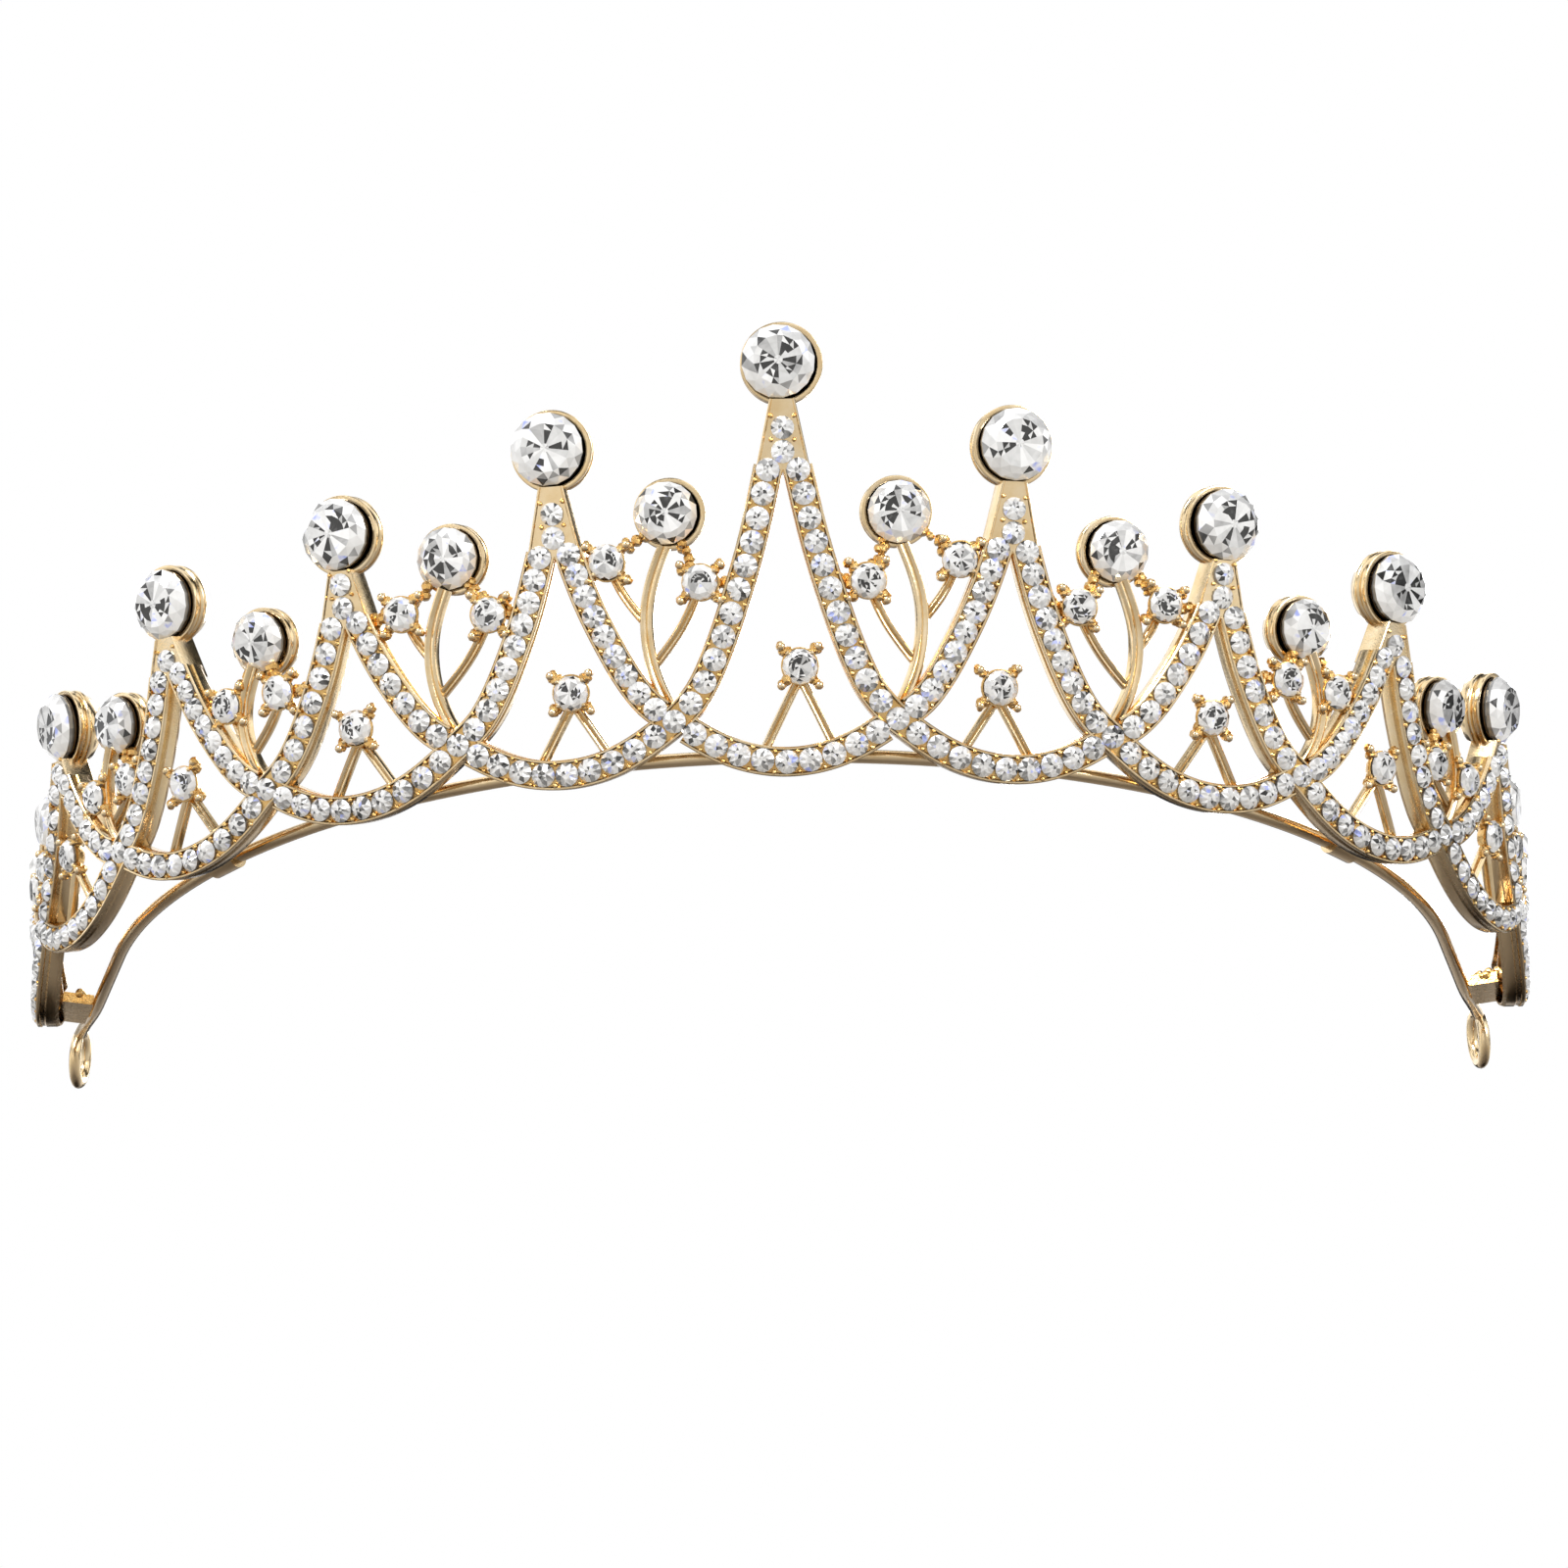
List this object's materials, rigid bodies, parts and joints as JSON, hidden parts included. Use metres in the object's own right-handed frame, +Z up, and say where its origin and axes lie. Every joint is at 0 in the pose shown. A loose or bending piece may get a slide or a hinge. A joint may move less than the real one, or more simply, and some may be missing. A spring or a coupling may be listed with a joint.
{
  "type": "tiara",
  "caption": "Openwork tiara: stone-set festoons and sprays rise to round stone peaks on a wire headband with an eye at each end.",
  "frame": {"origin": "centre of the overall box, at the surface the tiara stands on", "axes": "+X to the wearer's left, +Y from the front peak to the back of the head, +Z up, square to the plane of the headband"},
  "size_m": [0.1696, 0.0972, 0.0407],
  "materials": {
    "gold": "polished pale gold plate over a cast alloy",
    "crystal": "clear faceted glass with a silver foil back"
  },
  "bodies": {
    "root": {"arch_centre": "gold", "arch_left_1": "gold", "arch_left_2": "gold", "arch_left_3": "gold", "arch_left_4": "gold", "arch_left_5": "gold", "arch_right_1": "gold", "arch_right_2": "gold", "arch_right_3": "gold", "arch_right_4": "gold", "arch_right_5": "gold", "band_clips": "gold", "claw_stones": "crystal", "end_bracket_left": "gold", "end_bracket_right": "gold", "headband": "gold", "pave_stones_centre": "crystal", "pave_stones_left": "crystal", "pave_stones_right": "crystal", "peak_cup_centre": "gold", "peak_cup_left_1": "gold", "peak_cup_left_2": "gold", "peak_cup_left_3": "gold", "peak_cup_left_4": "gold", "peak_cup_left_5": "gold", "peak_cup_right_1": "gold", "peak_cup_right_2": "gold", "peak_cup_right_3": "gold", "peak_cup_right_4": "gold", "peak_cup_right_5": "gold", "peak_stones": "crystal", "spray_left_1": "gold", "spray_left_2": "gold", "spray_left_3": "gold", "spray_left_4": "gold", "spray_left_5": "gold", "spray_right_1": "gold", "spray_right_2": "gold", "spray_right_3": "gold", "spray_right_4": "gold", "spray_right_5": "gold", "spray_stones": "crystal", "swag_centre": "gold", "swag_left_1": "gold", "swag_left_2": "gold", "swag_left_3": "gold", "swag_left_4": "gold", "swag_left_5": "gold", "swag_right_1": "gold", "swag_right_2": "gold", "swag_right_3": "gold", "swag_right_4": "gold", "swag_right_5": "gold"}
  },
  "joints": []
}
